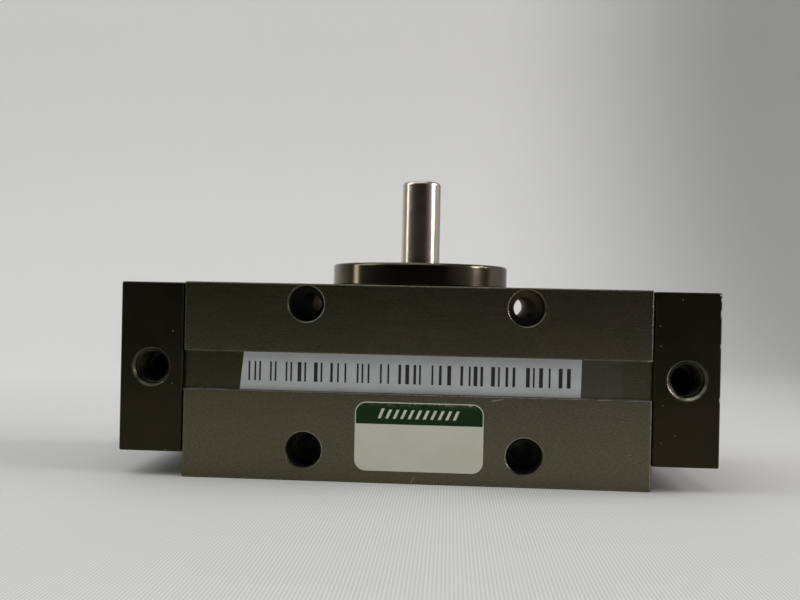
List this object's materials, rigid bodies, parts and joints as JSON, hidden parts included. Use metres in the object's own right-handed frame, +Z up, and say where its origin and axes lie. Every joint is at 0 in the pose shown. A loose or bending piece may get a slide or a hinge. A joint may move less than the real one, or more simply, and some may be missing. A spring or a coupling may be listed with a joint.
{
  "type": "rotary pneumatic actuator",
  "caption": "Rack-and-pinion rotary pneumatic actuator: dark rectangular block with end covers, side air ports, through mounting holes, a round bearing flange and an upright steel shaft.",
  "frame": {"origin": "bottom centre of the housing block, on the output shaft's axis", "axes": "+X along the piston bore to the right end cover, +Y to the back, -Y to the face with the ports, counterbores and labels, +Z up along the shaft"},
  "size_m": [0.1802, 0.0601, 0.0944],
  "materials": {
    "anodised_block": "hard anodised, olive grey, fine milled grain along the length",
    "anodised_cover": "black anodised, satin",
    "gloss_flange": "black anodised, turned and polished",
    "ground_steel": "ground and polished",
    "rack_steel": "machined",
    "bearing_steel": "ground and polished",
    "cage_brass": "machined",
    "spring_steel": "rolled",
    "black_screw_steel": "black oxide",
    "piston_aluminium": "turned",
    "seal_rubber": "nitrile, matt black",
    "bumper_elastomer": "polyurethane, amber",
    "wear_plastic": "filled acetal, satin",
    "label_tape": "laminated tape, pale grey with plain printed bars",
    "sticker_vinyl": "vinyl, pale field with a dark green band"
  },
  "bodies": {
    "housing_body": {"housing": "anodised_block", "left_end_cover": "anodised_cover", "right_end_cover": "anodised_cover", "left_cover_o_ring": "seal_rubber", "right_cover_o_ring": "seal_rubber", "left_bumper": "bumper_elastomer", "right_bumper": "bumper_elastomer", "left_cover_screws": "black_screw_steel", "right_cover_screws": "black_screw_steel", "bearing_flange": "gloss_flange", "flange_screws": "black_screw_steel", "shaft_seal": "seal_rubber", "preload_washer": "spring_steel", "lower_bearing_outer_race": "bearing_steel", "upper_bearing_outer_race": "bearing_steel", "label_strip": "label_tape", "rating_sticker": "sticker_vinyl"},
    "shaft_body": {"output_shaft": "ground_steel", "lower_bearing_inner_race": "bearing_steel", "upper_bearing_inner_race": "bearing_steel"},
    "lower_ball_body": {"lower_bearing_cage": "cage_brass", "lower_bearing_balls": "bearing_steel"},
    "upper_ball_body": {"upper_bearing_cage": "cage_brass", "upper_bearing_balls": "bearing_steel"},
    "rack_body": {"rack": "rack_steel", "left_piston": "piston_aluminium", "right_piston": "piston_aluminium", "left_piston_seal": "seal_rubber", "right_piston_seal": "seal_rubber", "left_piston_wear_ring": "wear_plastic", "right_piston_wear_ring": "wear_plastic", "left_piston_screw": "black_screw_steel", "right_piston_screw": "black_screw_steel"}
  },
  "joints": [
    {"name": "shaft_turn", "type": "hinge", "parent": "housing_body", "child": "shaft_body", "pos_m": [0, 0, 0.0596], "axis": [0, 0, 1], "range_deg": [-90, 90]},
    {"name": "rack_slide", "type": "slide", "parent": "housing_body", "child": "rack_body", "axis": [1, 0, 0], "range_m": [-0.01571, 0.01571]},
    {"name": "lower_ball_turn", "type": "hinge", "parent": "housing_body", "child": "lower_ball_body", "pos_m": [0, 0, 0.0085], "axis": [0, 0, 1], "range_deg": [-37.67, 37.67]},
    {"name": "upper_ball_turn", "type": "hinge", "parent": "housing_body", "child": "upper_ball_body", "pos_m": [0, 0, 0.0544], "axis": [0, 0, 1], "range_deg": [-37.67, 37.67]}
  ],
  "couplings": [
    {"joint": "rack_slide", "follows": "shaft_turn", "m_per_rad": 0.01},
    {"joint": "lower_ball_turn", "follows": "shaft_turn", "ratio": 0.4186},
    {"joint": "upper_ball_turn", "follows": "shaft_turn", "ratio": 0.4186}
  ]
}
